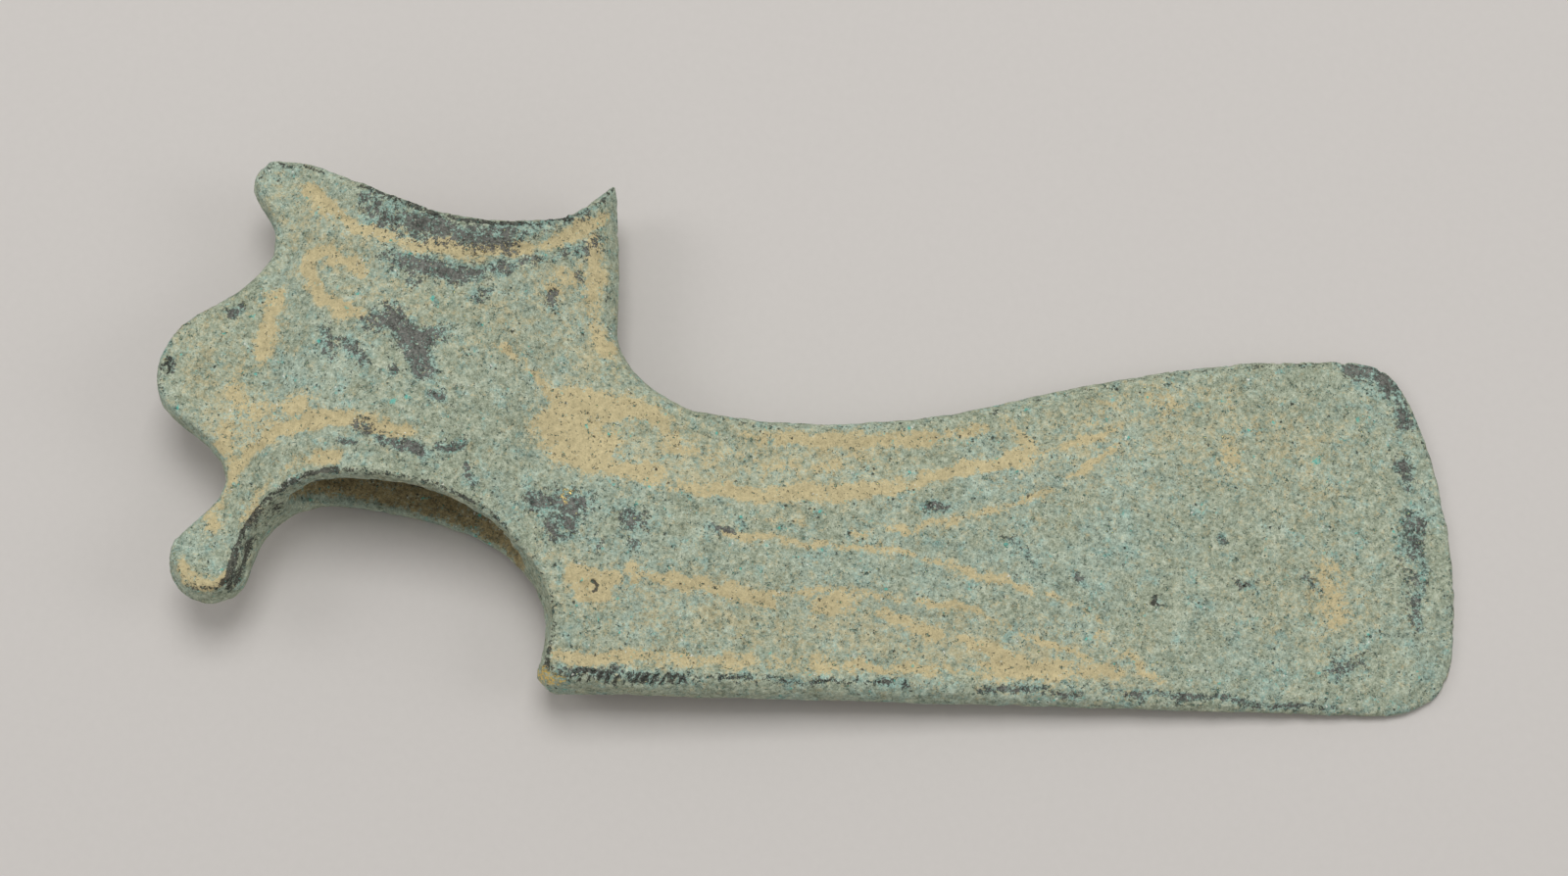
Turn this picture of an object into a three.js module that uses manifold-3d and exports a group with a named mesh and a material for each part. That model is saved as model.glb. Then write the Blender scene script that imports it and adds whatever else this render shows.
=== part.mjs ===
// Cast bronze shaft-hole axe head: a socket with crescent mouths, a lobed butt fin and a drooping blade.
// Millimetres. In the casting frame X runs from the haft axis to the cutting edge, Y along the haft (north
// is the end with the two small horns) and Z through the cheeks, with the mid-plane at Z = 0. The last
// section lays the casting down on one cheek.
import * as THREE from "three";
import { mergeVertices } from "three/addons/utils/BufferGeometryUtils.js";
import Module from "manifold-3d";

const wasm = await Module();
wasm.setup();

// ---- Driving dimensions: half thicknesses are measured from the mid-plane --------------------------

const BARREL = { half: 9.5, west: 21.4, east: 20.2, fullness: 0.6 };     // socket: half thickness and widths
const HAFT_HOLE = { x: 0.5, halfWide: 16, halfHigh: 6.8, power: 2.2, sides: 36, length: 140 };
const PLATE = { butt: 2.9, lug: 2.5, horn: 3.0, blend: 5.5 };      // half thickness of the thin outer parts
const PLATE_TURNS = { lug: -26, butt: -14, west: -10, east: 10 };  // where one of them gives way to the next
const DOMES = [                                            // low swellings on the lobe and on the lug's knob
  { x: -25.5, y: -6.5, radius: 7, rise: 0.5 },
  { x: -23.3, y: -31, radius: 4.5, rise: 0.4 },
];
const BLADE = {
  root: 20, end: 134, ribRoot: 5.8, ribEnd: 1.35, ribFall: 0.9, edgeRoot: 4.2, edgeEnd: 1.15,
};
const BLADE_JOIN = { from: 8, plateEnd: 30, blend: 0.8 };  // where the blade grows out of socket and plate
const HORN_SIDE = { share: 0.5, low: 0, high: 12, from: 26, to: 40 };    // the root thins to the horn
const HONE = { atEdge: 0.5, slope: 0.19 };                 // the last taper to the cutting edge
const SHOULDER = { in: 0.3, height: 0.66 };                // how the rounded edge bulges out to the mid-plane
const RINGS = 12;                                          // rings of facets from the edge to the middle
const EDGE_RINGS = 2;                                      // of which this many shape the rounded edge
const RING_BIAS = 1.2;                                     // the others crowd a little towards the edge
const UNDERSIDE_RELIEF = 0.4;                              // the hidden cheek is cast plainer
const REST = { edgeHalf: 0.95, reach: 137, flat: 0.3 };    // it lies on socket and edge, on small flat spots

// Relief that runs along a mouth: distance in from the rim, half width and height (grooves are negative).
const NORTH_BANDS = [
  { at: 1.8, width: 1.5, height: 0.30 },
  { at: 4.7, width: 1.2, height: -0.60 },
  { at: 7.5, width: 1.5, height: 0.40 },
  { at: 10.6, width: 2.0, height: -0.25 },
];
const SOUTH_BANDS = [
  { at: 1.0, width: 1.2, height: 0.20 },
  { at: 3.1, width: 1.1, height: -0.35 },
  { at: 5.3, width: 1.3, height: 0.40 },
  { at: 7.7, width: 1.2, height: -0.50 },
];
const BAND_REACH = { northFrom: 2, northFull: 7, southFrom: -4, southFull: -9 };    // Y they reach in to
const BAND_FADE = { blade: 11, bladeRun: 7, points: 35, pointsRun: 9 };             // and where they die
const BORDER = { ridgeAt: 2.7, ridge: 0.25, grooveAt: 4.4, groove: -0.3, width: 0.9 };    // by the lower edge
const ROOT_HOLLOW = { x: 22, y: -7.5, along: 5.5, across: 5, depth: 1.0, from: 14, full: 18 };

// The blade's midrib is what stands between two sunk leaves. Each leaf's inner side keeps one height along
// the root and bends away further out.
const LEAF = { depth: 0.75, border: 2.4, ramp: 2.2, start: 27, full: 34, fade: 72, end: 98 };
const UPPER_LEAF = { side: -12.2, bendAt: 38, bendRun: 41, rise: 12 };
const LOWER_LEAF = { side: -24.2, lift: 2, liftFrom: 45, liftTo: 68, bendAt: 74, bendRun: 21, fall: 4.4 };

// ---- Outline: the widest contour, counter-clockwise from the spur at the blade's heel ---------------

const { lerp, clamp, smoothstep } = THREE.MathUtils;
const xy = (x, y) => new THREE.Vector2(x, y);
const line = (a, b) => new THREE.LineCurve(a, b);
const turn = (a, corner, b) => new THREE.QuadraticBezierCurve(a, corner, b);
const sweep = (a, leave, arrive, b) => new THREE.CubicBezierCurve(a, leave, arrive, b);
function arc(centre, radius, fromDegrees, toDegrees) {
  const clockwise = toDegrees < fromDegrees;
  const [from, to] = [fromDegrees, toDegrees].map(THREE.MathUtils.degToRad);
  return new THREE.EllipseCurve(centre.x, centre.y, radius, radius, from, to, clockwise, 0);
}
const start = (curve) => curve.getPoint(0);
const end = (curve) => curve.getPoint(1);

const lowerEdge = line(xy(22.8, -41.2), xy(130, -26.7));
const toe = turn(end(lowerEdge), xy(140.5, -25.3), xy(140, -15.5));
const cuttingEdge = turn(end(toe), xy(138.9, 2), xy(131.8, 15.2));
const farCorner = turn(end(cuttingEdge), xy(128.4, 22.2), xy(123, 21.5));
const upperFar = sweep(end(farCorner), xy(107, 19.6), xy(90.5, 13.8), xy(76.5, 7.6));
const upperNear = sweep(end(upperFar), xy(63.5, 1.8), xy(50, -0.9), xy(37, -0.9));
const throat = sweep(end(upperNear), xy(31.5, -0.9), xy(24.2, 3.2), xy(23.4, 8.4));
const hornBack = turn(end(throat), xy(22.4, 17), xy(19.8, 27.9));
const hornTip = line(end(hornBack), xy(18.9, 27.8));
const hornRim = line(end(hornTip), xy(13.6, 21.5));
const northMouthEast = sweep(end(hornRim), xy(9.7, 19.6), xy(5.5, 18.6), xy(0.5, 18.6));
const northMouthWest = sweep(end(northMouthEast), xy(-6, 18.6), xy(-12, 21.6), xy(-20.5, 24.4));
const buttHorn = arc(xy(-24.6, 20.4), 3.8, 84, 196);
const buttHornTop = line(end(northMouthWest), start(buttHorn));
const lobe = arc(xy(-24.7, -6.9), 10.8, 122, 205);
const buttHornSide = line(end(buttHorn), xy(-24.2, 14.2));
const upperNotch = turn(end(buttHornSide), xy(-21.3, 9.7), start(lobe));
const neck = sweep(end(lobe), xy(-33.4, -14.2), xy(-23.6, -16.2), xy(-23.6, -20.6));
const knob = arc(xy(-23.4, -31.2), 5.7, 166, 282);
const lugOutside = sweep(end(neck), xy(-23.4, -24.4), xy(-27.4, -26.9), start(knob));
const knobHeel = turn(end(knob), xy(-18.9, -35.7), xy(-18.6, -33));
const lugInside = sweep(end(knobHeel), xy(-18.7, -28), xy(-17.3, -24.8), xy(-14, -21.7));
const southMouthWest = sweep(end(lugInside), xy(-10.6, -19), xy(-4, -19.7), xy(1, -19.8));
const southMouthEast = sweep(end(southMouthWest), xy(10.8, -20.1), xy(21.4, -26), xy(21, -35));
const spurBack = line(end(southMouthEast), xy(20.6, -39.2));
const spur = line(end(spurBack), start(lowerEdge));

// Each stretch with its number of facets and the width of its rounded edge where the stretch starts.
// Along the south mouth the lower cheek has a lip: it reaches that much further out than the upper one.
const OUTLINE = [
  { curve: lowerEdge, facets: 26, round: 1.6 },
  { curve: toe, facets: 6, round: 2.1 },
  { curve: cuttingEdge, facets: 8, round: 2.2 },
  { curve: farCorner, facets: 4, round: 1.8 },
  { curve: upperFar, facets: 13, round: 1.4 },
  { curve: upperNear, facets: 12, round: 1.3 },
  { curve: throat, facets: 8, round: 1.3 },
  { curve: hornBack, facets: 5, round: 1.5 },
  { curve: hornTip, facets: 1, round: 0.3 },
  { curve: hornRim, facets: 3, round: 0.3 },
  { curve: northMouthEast, facets: 5, round: 0.7 },
  { curve: northMouthWest, facets: 9, round: 0.7 },
  { curve: buttHornTop, facets: 2, round: 0.8 },
  { curve: buttHorn, facets: 8, round: 0.9 },
  { curve: buttHornSide, facets: 2, round: 1.0 },
  { curve: upperNotch, facets: 4, round: 1.0 },
  { curve: lobe, facets: 12, round: 1.0 },
  { curve: neck, facets: 5, round: 0.9 },
  { curve: lugOutside, facets: 4, round: 0.8 },
  { curve: knob, facets: 7, round: 0.7 },
  { curve: knobHeel, facets: 2, round: 0.7, lip: 0.2 },
  { curve: lugInside, facets: 5, round: 0.6, lip: 0.8 },
  { curve: southMouthWest, facets: 6, round: 0.4, lip: 0.6 },
  { curve: southMouthEast, facets: 10, round: 0.4, lip: 1.2 },
  { curve: spurBack, facets: 1, round: 0.5, lip: 0.4 },
  { curve: spur, facets: 1, round: 0.9, lip: 0.2 },
];

// ---- Skeleton: the facets run in from the outline to a tree of lines along the middle of the form ----

const lobeCentre = xy(-24.7, -6.9);
const buttFork = xy(-15, -2.5);
const hornFork = xy(13, 1);
const heelStation = xy(30, -23);
const bladeEnd = xy(118, -3.5);
const limb = (curve, steps) => curve.getSpacedPoints(steps);
const LIMBS = {
  lobe: limb(line(lobeCentre, buttFork), 3),
  socket: limb(turn(buttFork, xy(-1, 1.5), hornFork), 10),
  root: limb(turn(hornFork, xy(16, -19), heelStation), 7),
  blade: limb(sweep(heelStation, xy(52, -21.5), xy(84, -12.5), bladeEnd), 26),
  horn: limb(turn(hornFork, xy(17, 12), xy(18.8, 24.5)), 5),
  buttHorn: limb(turn(buttFork, xy(-18, 10), xy(-24.3, 20.3)), 4),
  lug: limb(sweep(buttFork, xy(-17, -13), xy(-20.8, -19), xy(-23, -31)), 6),
};

// A walk once round the skeleton, out and back along every limb, with a stay at each limb's far end.
function walkSkeleton() {
  const feet = [];
  const out = (limbPoints) => feet.push(...limbPoints.slice(0, -1));
  const back = (limbPoints) => feet.push(...limbPoints.slice(1).reverse());
  const stay = (point, times) => feet.push(...Array(times).fill(point));
  out(LIMBS.blade);
  stay(bladeEnd, 18);
  back(LIMBS.blade);
  back(LIMBS.root);
  out(LIMBS.horn);
  stay(LIMBS.horn.at(-1), 1);
  back(LIMBS.horn);
  back(LIMBS.socket);
  out(LIMBS.buttHorn);
  stay(LIMBS.buttHorn.at(-1), 8);
  back(LIMBS.buttHorn);
  back(LIMBS.lobe);
  stay(lobeCentre, 11);
  out(LIMBS.lobe);
  out(LIMBS.lug);
  stay(LIMBS.lug.at(-1), 9);
  back(LIMBS.lug);
  out(LIMBS.socket);
  out(LIMBS.root);
  return feet;
}

// The outline's corners, each with its edge rounding and the unit vector that points into the casting.
function walkOutline() {
  const corners = [];
  OUTLINE.forEach(({ curve, facets, round, lip = 0 }, index) => {
    const next = OUTLINE[(index + 1) % OUTLINE.length];
    curve.getSpacedPoints(facets).slice(0, -1).forEach((point, step) => {
      const share = step / facets;
      corners.push({ point, round: lerp(round, next.round, share), lip: lerp(lip, next.lip ?? 0, share) });
    });
  });
  corners.forEach((corner, index) => {
    const before = corners.at(index - 1).point;
    const after = corners[(index + 1) % corners.length].point;
    const along = after.clone().sub(before).normalize();
    corner.inward = xy(-along.y, along.x);
  });
  return corners;
}

// ---- Form: half thickness of the casting at a place on the mid-plane ------------------------------

const swell = (distance, width) => Math.exp(-((distance / width) ** 2));
const blendMax = (a, b, radius) => {
  const near = Math.max(radius - Math.abs(a - b), 0) / radius;
  return Math.max(a, b) + (near * near * radius) / 4;
};

function distanceTo(curves) {
  const points = curves.flatMap((curve) => curve.getSpacedPoints(24));
  return (x, y) => {
    let nearest = Infinity;
    for (let i = 1; i < points.length; i += 1) {
      const run = points[i].clone().sub(points[i - 1]);
      const to = xy(x, y).sub(points[i - 1]);
      const along = run.lengthSq() > 0 ? clamp(to.dot(run) / run.lengthSq(), 0, 1) : 0;
      nearest = Math.min(nearest, to.addScaledVector(run, -along).length());
    }
    return nearest;
  };
}
const fromNorthRim = distanceTo([hornRim, northMouthEast, northMouthWest, buttHornTop]);
const fromSouthRim = distanceTo([lugInside, southMouthWest, southMouthEast, spurBack]);
const fromLowerEdge = distanceTo([lowerEdge]);
const fromUpperEdge = distanceTo([upperFar, upperNear, throat]);
const fromCuttingEdge = distanceTo([toe, cuttingEdge, farCorner]);

function socketForm(x) {
  const reach = x < 0 ? BARREL.west : BARREL.east;
  return BARREL.half * Math.max(0, 1 - (x / reach) ** 2) ** BARREL.fullness;
}

function plateForm(x, y) {
  const west = lerp(PLATE.lug, PLATE.butt, smoothstep(y, PLATE_TURNS.lug, PLATE_TURNS.butt));
  const plate = lerp(west, PLATE.horn, smoothstep(x, PLATE_TURNS.west, PLATE_TURNS.east));
  const domes = DOMES.map((dome) => dome.rise * swell(Math.hypot(x - dome.x, y - dome.y), dome.radius));
  return domes.reduce((sum, dome) => sum + dome, plate);
}

function bladeForm(x, y) {
  const along = clamp((x - BLADE.root) / (BLADE.end - BLADE.root), 0, 1);
  const lower = fromLowerEdge(x, y);
  const upper = fromUpperEdge(x, y);
  const offCentre = Math.abs(lower - upper) / (lower + upper);
  const rib = lerp(BLADE.ribRoot, BLADE.ribEnd, along ** BLADE.ribFall);
  const edge = lerp(BLADE.edgeRoot, BLADE.edgeEnd, along);
  const section = lerp(rib, edge, offCentre ** 2);
  const beforeBlade = 1 - smoothstep(x, HORN_SIDE.from, HORN_SIDE.to);
  const inHorn = smoothstep(y, HORN_SIDE.low, HORN_SIDE.high) * beforeBlade;
  return section * lerp(1, HORN_SIDE.share, inHorn);
}

function baseForm(x, y) {
  let half = blendMax(socketForm(x), plateForm(x, y), PLATE.blend);
  if (x > BLADE_JOIN.from) half = blendMax(half, bladeForm(x, y), BLADE_JOIN.blend);
  if (x > BLADE_JOIN.plateEnd) half = bladeForm(x, y);
  return Math.min(half, HONE.atEdge + HONE.slope * fromCuttingEdge(x, y));
}

const bands = (distance, list) =>
  list.reduce((sum, { at, width, height }) => sum + height * swell(distance - at, width), 0);

function mouthRelief(x, y) {
  const { northFrom, northFull, southFrom, southFull } = BAND_REACH;
  const north = bands(fromNorthRim(x, y), NORTH_BANDS) * smoothstep(y, northFrom, northFull);
  const south = bands(fromSouthRim(x, y), SOUTH_BANDS) * smoothstep(-y, -southFrom, -southFull);
  const { blade, bladeRun, points, pointsRun } = BAND_FADE;
  const beforeBlade = 1 - smoothstep(x, blade, blade + bladeRun);
  const beforePoints = 1 - smoothstep(Math.abs(x) + Math.abs(y), points, points + pointsRun);
  return (north + south) * beforeBlade * beforePoints;
}

const bend = (x, { bendAt, bendRun }) => (Math.max(0, x - bendAt) / bendRun) ** 2;

function leafRelief(x, y) {
  const upperSide = UPPER_LEAF.side + UPPER_LEAF.rise * bend(x, UPPER_LEAF);
  const lift = LOWER_LEAF.lift * smoothstep(x, LOWER_LEAF.liftFrom, LOWER_LEAF.liftTo);
  const lowerSide = LOWER_LEAF.side + lift - LOWER_LEAF.fall * bend(x, LOWER_LEAF);
  const ramp = (inside) => smoothstep(inside, 0, LEAF.ramp);
  const upperLeaf = ramp(y - upperSide) * ramp(fromUpperEdge(x, y) - LEAF.border);
  const lowerLeaf = ramp(lowerSide - y) * ramp(fromLowerEdge(x, y) - LEAF.border);
  const along = smoothstep(x, LEAF.start, LEAF.full) * (1 - smoothstep(x, LEAF.fade, LEAF.end));
  return -LEAF.depth * (upperLeaf + lowerLeaf) * along;
}

function hollowRelief(x, y) {
  const hollow = ROOT_HOLLOW;
  const bowl = swell(x - hollow.x, hollow.along) * swell(y - hollow.y, hollow.across);
  return -hollow.depth * bowl * smoothstep(x, hollow.from, hollow.full);
}

function borderRelief(x, y) {
  const inFromEdge = fromLowerEdge(x, y);
  const ridge = BORDER.ridge * swell(inFromEdge - BORDER.ridgeAt, BORDER.width);
  const groove = BORDER.groove * swell(inFromEdge - BORDER.grooveAt, BORDER.width);
  return (ridge + groove) * (1 - smoothstep(x, LEAF.fade, LEAF.end));
}

const relief = (x, y) => mouthRelief(x, y) + leafRelief(x, y) + hollowRelief(x, y) + borderRelief(x, y);

// ---- Casting: a sheet wrapped once round the outline, from one cheek over the edge to the other -------

function toSolid(geometry) {
  const bare = geometry.clone();
  bare.deleteAttribute("normal");
  bare.deleteAttribute("uv");
  const merged = mergeVertices(bare, 1e-4);
  const corners = merged.index.array;
  const kept = [];
  for (let i = 0; i < corners.length; i += 3) {
    const [a, b, c] = corners.slice(i, i + 3);
    if (a !== b && b !== c && c !== a) kept.push(a, b, c);
  }
  const vertProperties = new Float32Array(merged.attributes.position.array);
  return new wasm.Manifold(new wasm.Mesh({ numProp: 3, vertProperties, triVerts: new Uint32Array(kept) }));
}

function toGeometry(solid) {
  const mesh = solid.getMesh();
  const geometry = new THREE.BufferGeometry();
  geometry.setAttribute("position", new THREE.BufferAttribute(mesh.vertProperties, mesh.numProp));
  geometry.setIndex(new THREE.BufferAttribute(mesh.triVerts, 1));
  geometry.computeVertexNormals();
  return geometry;
}

// Two facets for each cell of the sheet, split along the cell's shorter diagonal.
function shortDiagonals(position, columns, rows) {
  const vertex = (index) => new THREE.Vector3().fromBufferAttribute(position, index);
  const index = [];
  for (let row = 0; row < rows; row += 1) {
    for (let column = 0; column < columns; column += 1) {
      const a = row * (columns + 1) + column;
      const [b, c, d] = [a + columns + 1, a + columns + 2, a + 1];
      const straight = vertex(b).distanceTo(vertex(d)) < vertex(a).distanceTo(vertex(c));
      index.push(...(straight ? [a, b, d, b, c, d] : [a, b, c, a, c, d]));
    }
  }
  return index;
}

function castingSheet() {
  const corners = walkOutline();
  const feet = walkSkeleton();
  if (corners.length !== feet.length) throw new Error(`outline ${corners.length}, skeleton ${feet.length}`);
  const sheet = new THREE.PlaneGeometry(1, 1, corners.length, 2 * RINGS);
  const position = sheet.attributes.position;
  for (let i = 0; i < position.count; i += 1) {
    const column = (i % (corners.length + 1)) % corners.length;
    const row = Math.floor(i / (corners.length + 1));
    const ring = Math.abs(RINGS - row);
    const side = Math.sign(RINGS - row);
    const { point, round, lip, inward } = corners[column];
    const edge = point.clone().addScaledVector(inward, side > 0 ? lip : 0);
    const crease = edge.clone().addScaledVector(inward, round);
    const place = point.clone();
    let share = 0;
    if (ring === 1) {
      place.copy(edge).lerp(crease, SHOULDER.in);
      share = SHOULDER.height;
    } else if (ring > 1) {
      const inwards = (ring - EDGE_RINGS) / (RINGS - EDGE_RINGS);
      place.copy(crease).lerp(feet[column], inwards ** RING_BIAS);
      share = 1;
    }
    const measured = ring === 1 ? crease : place;
    const strength = side > 0 ? 1 : UNDERSIDE_RELIEF;
    const half = baseForm(measured.x, measured.y) + strength * relief(measured.x, measured.y);
    position.setXYZ(i, place.x, place.y, side * share * half);
  }
  sheet.setIndex(shortDiagonals(position, corners.length, 2 * RINGS));
  return sheet;
}

function haftHole() {
  const { x, halfWide, halfHigh, power, sides, length } = HAFT_HOLE;
  const section = new THREE.Shape();
  for (let i = 0; i < sides; i += 1) {
    const angle = (2 * Math.PI * i) / sides;
    const across = Math.sign(Math.cos(angle)) * Math.abs(Math.cos(angle)) ** (2 / power);
    const high = Math.sign(Math.sin(angle)) * Math.abs(Math.sin(angle)) ** (2 / power);
    section[i === 0 ? "moveTo" : "lineTo"](x + halfWide * across, halfHigh * high);
  }
  section.closePath();
  const bore = new THREE.ExtrudeGeometry(section, { depth: length, bevelEnabled: false });
  return bore.rotateX(Math.PI / 2).translate(0, length / 2, 0);
}

const casting = toSolid(castingSheet()).subtract(toSolid(haftHole()));

// ---- Rest: it lies on the socket's underside and the blade's end, each worn to a small flat spot ------

const restTilt = Math.atan2(BARREL.half - REST.edgeHalf, REST.reach);
const laid = toGeometry(casting).rotateY(restTilt);
laid.computeBoundingBox();
laid.translate(0, 0, -laid.boundingBox.min.z - REST.flat);
const ground = { size: 400, depth: 40 };
const groundBlock = new THREE.BoxGeometry(ground.size, ground.size, ground.depth);
groundBlock.translate(0, 0, -ground.depth / 2);
const rested = toGeometry(toSolid(laid).subtract(toSolid(groundBlock)));
rested.computeBoundingBox();
const middle = rested.boundingBox.getCenter(new THREE.Vector3());

const patinatedBronze = new THREE.MeshStandardMaterial({ color: 0x9ea58f, roughness: 0.85, metalness: 0.15 });
const axeHead = new THREE.Mesh(rested, patinatedBronze);
axeHead.name = "axe_head";
axeHead.position.set(-middle.x, -middle.y, 0);

const model = new THREE.Group();
model.add(axeHead);

export default model;
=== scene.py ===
# Bronze axe head, lying on one cheek: one lost-wax casting with its burial crust left as found.
# Blender works in metres. Sizes are written in millimetres, in the casting's own directions: X from the
# haft's axis to the cutting edge, Y along the haft, Z through the cheeks from the mid-plane.
import math

import bpy
import numpy as np
from mathutils import Euler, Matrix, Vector


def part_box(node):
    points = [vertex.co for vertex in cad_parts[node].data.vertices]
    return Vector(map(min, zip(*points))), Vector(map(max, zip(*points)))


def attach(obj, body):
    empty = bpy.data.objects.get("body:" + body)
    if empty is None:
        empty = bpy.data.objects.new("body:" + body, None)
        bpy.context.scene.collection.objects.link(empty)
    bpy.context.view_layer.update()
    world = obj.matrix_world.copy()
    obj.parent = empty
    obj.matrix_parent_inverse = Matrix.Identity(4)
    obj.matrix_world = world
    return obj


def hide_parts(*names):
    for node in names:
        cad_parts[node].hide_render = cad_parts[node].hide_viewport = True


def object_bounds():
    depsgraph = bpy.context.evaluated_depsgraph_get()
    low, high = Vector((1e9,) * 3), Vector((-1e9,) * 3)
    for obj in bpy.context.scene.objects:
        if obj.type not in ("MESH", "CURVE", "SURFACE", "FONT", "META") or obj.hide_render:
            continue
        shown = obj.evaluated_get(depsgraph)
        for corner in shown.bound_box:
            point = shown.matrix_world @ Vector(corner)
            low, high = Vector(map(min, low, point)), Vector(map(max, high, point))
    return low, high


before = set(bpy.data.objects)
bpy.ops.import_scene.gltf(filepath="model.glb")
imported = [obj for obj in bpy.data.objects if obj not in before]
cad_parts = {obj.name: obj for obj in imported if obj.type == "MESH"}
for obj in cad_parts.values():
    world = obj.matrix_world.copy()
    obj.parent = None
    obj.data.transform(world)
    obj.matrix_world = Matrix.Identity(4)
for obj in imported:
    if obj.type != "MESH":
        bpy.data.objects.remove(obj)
cad_low, cad_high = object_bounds()


# ---- Camera ------------------------------------------------------------------------------------------
# The head is seen from above, from a little way round towards the crescent mouth, so that the inside of
# the socket shows under the lip.
MM = 0.001
camera_data = bpy.data.cameras.new("camera")
camera_data.lens = 65.25
camera_data.sensor_width = 36.0
camera = bpy.data.objects.new("camera", camera_data)
bpy.context.scene.collection.objects.link(camera)
camera.rotation_euler = Euler((math.radians(15.0), 0.0, math.radians(8.8)))
aim = Vector(((cad_low.x + cad_high.x) / 2 - 4.65 * MM, (cad_low.y + cad_high.y) / 2 + 4.65 * MM, 5.5 * MM))
distance = 380 * MM
camera.location = aim + camera.rotation_euler.to_matrix() @ Vector((0, 0, distance))
camera_data.clip_start = 0.01
bpy.context.scene.camera = camera


# ---- The casting's skin ------------------------------------------------------------------------------
# The facets of the construction solid are drawn over with an even skin of small faces, as smooth as the
# wax the head was cast from. Everything below works on this skin.
axe_head = bpy.data.objects.new("cast_axe_head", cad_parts["axe_head"].data.copy())
axe_head.data.materials.clear()
bpy.context.scene.collection.objects.link(axe_head)


def keep_modifiers(piece):
    """Turns a piece's modifiers into its mesh."""
    shaped = piece.evaluated_get(bpy.context.evaluated_depsgraph_get())
    mesh = bpy.data.meshes.new_from_object(shaped)
    piece.modifiers.clear()
    piece.data = mesh


skin = axe_head.modifiers.new("skin", "REMESH")
skin.mode = "VOXEL"
skin.voxel_size = 0.29 * MM
keep_modifiers(axe_head)


def read_points(mesh, what="co"):
    """One row for each point of a mesh: its place, or its normal."""
    flat = np.empty(len(mesh.vertices) * 3)
    mesh.vertices.foreach_get(what, flat)
    return flat.reshape(-1, 3)


def write_points(mesh, coordinates):
    """Moves the points of a mesh to new places."""
    mesh.vertices.foreach_set("co", coordinates.ravel())
    mesh.update()


# The wax was smoothed with the thumb, but its creases stayed: a point moves towards its neighbours only as
# far as they face the same way. CREASE is the turn at which they let go, as 1 less its cosine.
PASSES = 20
STEP = 0.6
CREASE = 0.03
pairs = np.empty(len(axe_head.data.edges) * 2, int)
axe_head.data.edges.foreach_get("vertices", pairs)
first, second = pairs.reshape(-1, 2).T


def gather(values):
    """Sums a value for each edge over the points at its two ends."""
    count = len(axe_head.data.vertices)
    return np.bincount(first, values, count) + np.bincount(second, values, count)


for _ in range(PASSES):
    co = read_points(axe_head.data)
    normal = read_points(axe_head.data, "normal")
    alike = np.exp(-((1 - (normal[first] * normal[second]).sum(1)) / CREASE) ** 2)
    run = (co[second] - co[first]) * alike[:, None]
    count = len(co)
    pull = [np.bincount(first, run[:, k], count) - np.bincount(second, run[:, k], count) for k in range(3)]
    write_points(axe_head.data, co + STEP * np.stack(pull, 1) / (gather(alike) + 1e-6)[:, None])


# ---- Pared edges -------------------------------------------------------------------------------------
# The edges of the thin plates were pared to a flat in the wax: the horn's two sides, the rim west of the
# north mouth and the knob at the lug's end.

# The haft's axis crosses the mid-plane at `haft`, and from there the mid-plane falls by `droop` towards the
# cutting edge.
node_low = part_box("axe_head")[0]
haft = np.array([node_low.x + 35.42 * MM, node_low.y + 41.2 * MM, 9.38 * MM])
droop = math.radians(3.57)


def to_casting(vectors):
    """Turns vectors from the frame's directions to the casting's own."""
    x, y, z = vectors.T
    return np.stack([
        x * math.cos(droop) - z * math.sin(droop),
        y,
        x * math.sin(droop) + z * math.cos(droop),
    ], 1)


def smooth_step(value, low, high):
    """Rises from 0 at low to 1 at high, softly at both ends."""
    share = np.clip((value - low) / (high - low), 0, 1)
    return share * share * (3 - 2 * share)


def distance_to(spots, line):
    """Distance in mm from each spot to a line drawn smoothly through a few points (Catmull-Rom)."""
    ends = [line[0], *line, line[-1]]
    path = []
    for a, b, c, d in zip(ends, ends[1:], ends[2:], ends[3:]):
        a, b, c, d = (np.array(p, float) for p in (a, b, c, d))
        for t in np.linspace(0, 1, 6, endpoint=False):
            path.append(0.5 * (2 * b + (c - a) * t + (2 * a - 5 * b + 4 * c - d) * t**2
                               + (3 * b - a - 3 * c + d) * t**3))
    path.append(np.array(line[-1], float))
    nearest = np.full(len(spots), 1e3)
    for start, end in zip(path, path[1:]):
        run = end - start
        share = np.clip((spots - start) @ run / max(run @ run, 1e-9), 0, 1)
        gap = spots - start - share[:, None] * run
        nearest = np.minimum(nearest, np.hypot(gap[:, 0], gap[:, 1]))
    return nearest


def stroke(spots, line, width):
    """A soft stroke along a line: 1 on the line, fading over the width."""
    amount = np.zeros(len(spots))
    low = np.min(line, 0) - 2.5 * width
    high = np.max(line, 0) + 2.5 * width
    near = ((spots > low) & (spots < high)).all(1)
    amount[near] = np.exp(-(distance_to(spots[near], line) / width) ** 2)
    return amount


# Each edge with the width of its flat in mm and the share of the plate's half thickness that it takes off.
# Where an edge runs into thicker metal, it takes off no more than it would from the thickest plate.
PLATE_HALF = 3.2
PARED_EDGES = [
    ([(20.3, 26), (21.4, 22), (22.6, 16), (23.4, 9.5)], 1.8, 0.75),
    ([(14.6, 22.6), (16.5, 24.6), (18.6, 27.2)], 1.2, 0.5),
    ([(-20.5, 24.4), (-17, 23.1), (-14, 22)], 1.2, 0.5),
    ([(-28.6, -33.6), (-26, -36.4), (-22.2, -36.9), (-19.6, -36)], 1.3, 0.7),
    ([(-18.8, -35.6), (-18.6, -32), (-18.2, -28), (-16.4, -24.4)], 1.5, 0.6),
]
spots_3d = to_casting((read_points(axe_head.data) - haft) / MM)
level = spots_3d[:, 2].copy()
for edge, width, share in PARED_EDGES:
    inwards = np.clip(distance_to(spots_3d[:, :2], edge) / width, 0, 1)
    level -= share * (1 - inwards) * np.clip(level, 0, PLATE_HALF)
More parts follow.
